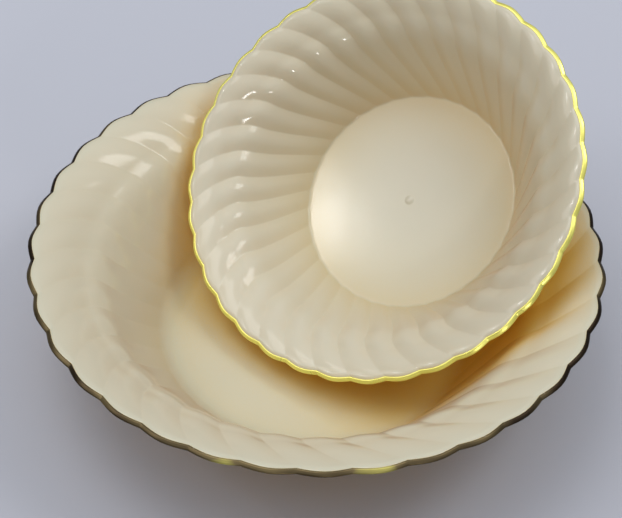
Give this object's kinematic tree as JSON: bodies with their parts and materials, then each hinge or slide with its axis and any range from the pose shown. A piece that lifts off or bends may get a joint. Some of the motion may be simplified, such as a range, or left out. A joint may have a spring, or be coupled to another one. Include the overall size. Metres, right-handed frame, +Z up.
{
  "type": "fluted bowl pair, one leaning in the other",
  "caption": "Swirl-fluted plastic serving bowls with scalloped gilt edges: a smaller bowl leans tilted inside a larger bowl of the same design.",
  "frame": {"origin": "middle of the large bowl's foot ring, on the surface that it stands on", "axes": "+Z up along the large bowl's axis; the small bowl opens toward -Y and its back rests on the large bowl's wall toward +Y"},
  "size_m": [0.1778, 0.1778, 0.0927],
  "materials": {
    "ivory_plastic": "glossy ivory, slightly translucent, moulded",
    "gilt_foil": "bright gold foil, stamped on the rim"
  },
  "bodies": {
    "root": {"large_bowl": "ivory_plastic", "large_bowl_gilt_edge": "gilt_foil", "small_bowl": "ivory_plastic", "small_bowl_gilt_edge": "gilt_foil"}
  },
  "joints": []
}
